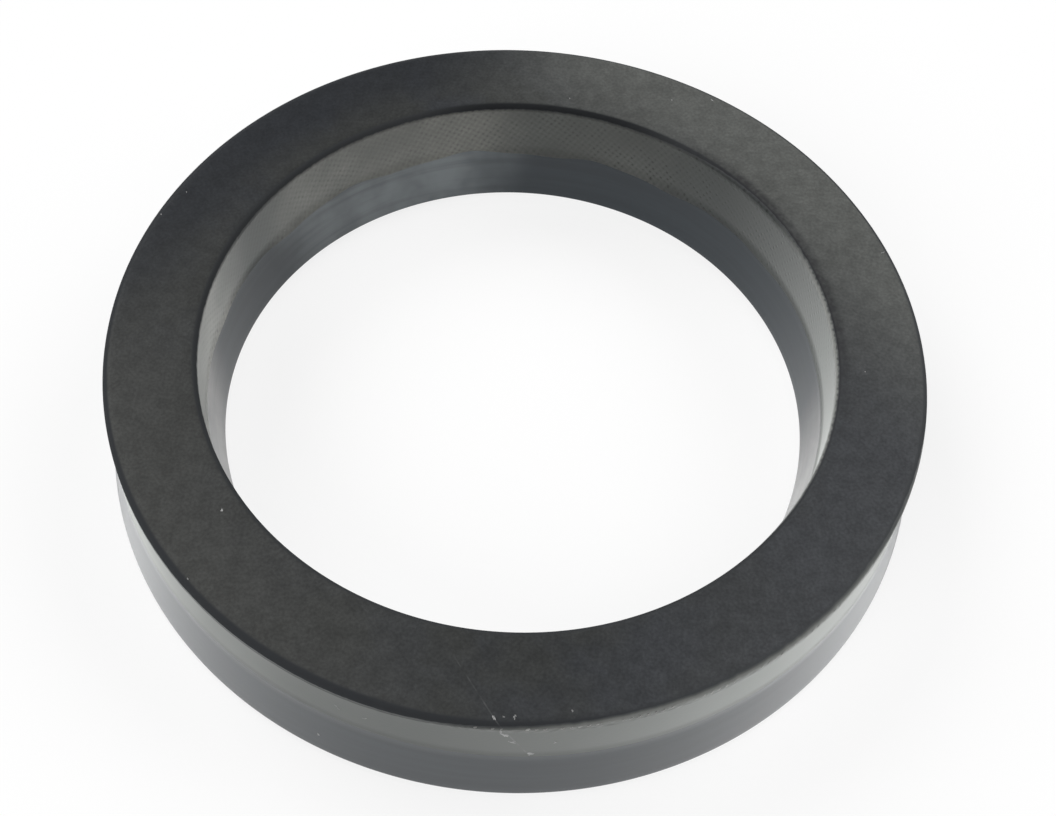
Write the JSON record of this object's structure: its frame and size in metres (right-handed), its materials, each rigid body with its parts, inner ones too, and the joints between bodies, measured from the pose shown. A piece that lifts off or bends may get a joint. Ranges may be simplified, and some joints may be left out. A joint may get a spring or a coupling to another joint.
{
  "type": "rod seal",
  "caption": "Moulded ring seal for a hydraulic rod, with a flat fabric-reinforced heel and two splayed rubber lips parted by a V groove.",
  "frame": {"origin": "on the ring's axis, in the plane of the outer lip's rim, on which the seal stands", "axes": "+Z along the ring's axis, from the lips towards the heel face; +X and +Y are free, because the ring is round"},
  "size_m": [0.0664, 0.0664, 0.0114],
  "materials": {
    "seal_rubber": "matt dark grey rubber, with a fine diagonal weave pressed into the heel and smooth lips"
  },
  "bodies": {
    "root": {"rod_seal": "seal_rubber"}
  },
  "joints": []
}
